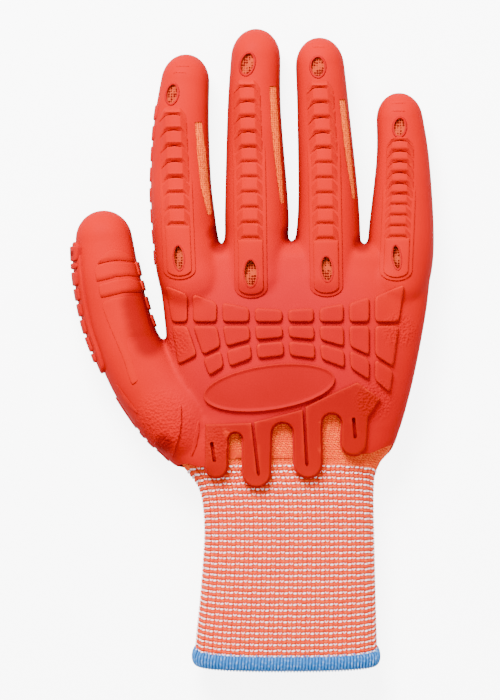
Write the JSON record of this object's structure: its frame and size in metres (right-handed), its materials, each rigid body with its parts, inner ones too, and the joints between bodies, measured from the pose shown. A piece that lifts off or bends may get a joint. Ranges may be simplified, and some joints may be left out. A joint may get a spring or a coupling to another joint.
{
  "type": "impact protection glove",
  "caption": "Right-hand knitted work glove with a rubber skin, ribbed finger guards, knuckle blocks, an oval plate and a fluted wrist guard on its back, and a long ribbed knit cuff.",
  "frame": {"origin": "middle of the palm's flat underside, on which the glove lies", "axes": "+X towards the little finger, +Y towards the fingertips, +Z out of the back of the hand"},
  "size_m": [0.1471, 0.2596, 0.0366],
  "materials": {
    "rubber_skin": "fine-grained matt orange-red rubber dip",
    "rubber_guard": "smooth satin orange-red moulded rubber",
    "liner_knit": "fine plain knit, orange yarn",
    "cuff_knit": "ribbed knit in orange and white yarn",
    "hem_thread": "blue overlock thread"
  },
  "bodies": {
    "root": {"index_stall": "rubber_skin", "middle_stall": "rubber_skin", "ring_stall": "rubber_skin", "little_stall": "rubber_skin", "thumb_stall": "rubber_skin", "hand_skin": "rubber_skin", "knit_liner": "liner_knit", "knit_cuff": "cuff_knit", "cuff_hem": "hem_thread", "index_guard": "rubber_guard", "middle_guard": "rubber_guard", "ring_guard": "rubber_guard", "little_guard": "rubber_guard", "thumb_guard": "rubber_guard", "thumb_band_1": "rubber_guard", "thumb_band_2": "rubber_guard", "thumb_band_3": "rubber_guard", "knuckle_upper_1": "rubber_guard", "knuckle_upper_2": "rubber_guard", "knuckle_upper_3": "rubber_guard", "knuckle_upper_4": "rubber_guard", "knuckle_upper_5": "rubber_guard", "knuckle_upper_6": "rubber_guard", "knuckle_upper_7": "rubber_guard", "knuckle_upper_8": "rubber_guard", "knuckle_middle_1": "rubber_guard", "knuckle_middle_2": "rubber_guard", "knuckle_middle_3": "rubber_guard", "knuckle_middle_4": "rubber_guard", "knuckle_middle_5": "rubber_guard", "knuckle_middle_6": "rubber_guard", "knuckle_middle_7": "rubber_guard", "knuckle_middle_8": "rubber_guard", "knuckle_lower_2": "rubber_guard", "knuckle_lower_3": "rubber_guard", "knuckle_lower_4": "rubber_guard", "knuckle_lower_5": "rubber_guard", "knuckle_lower_6": "rubber_guard", "knuckle_lower_7": "rubber_guard", "knuckle_lower_8": "rubber_guard", "back_badge": "rubber_guard", "wrist_guard": "rubber_guard"}
  },
  "joints": []
}
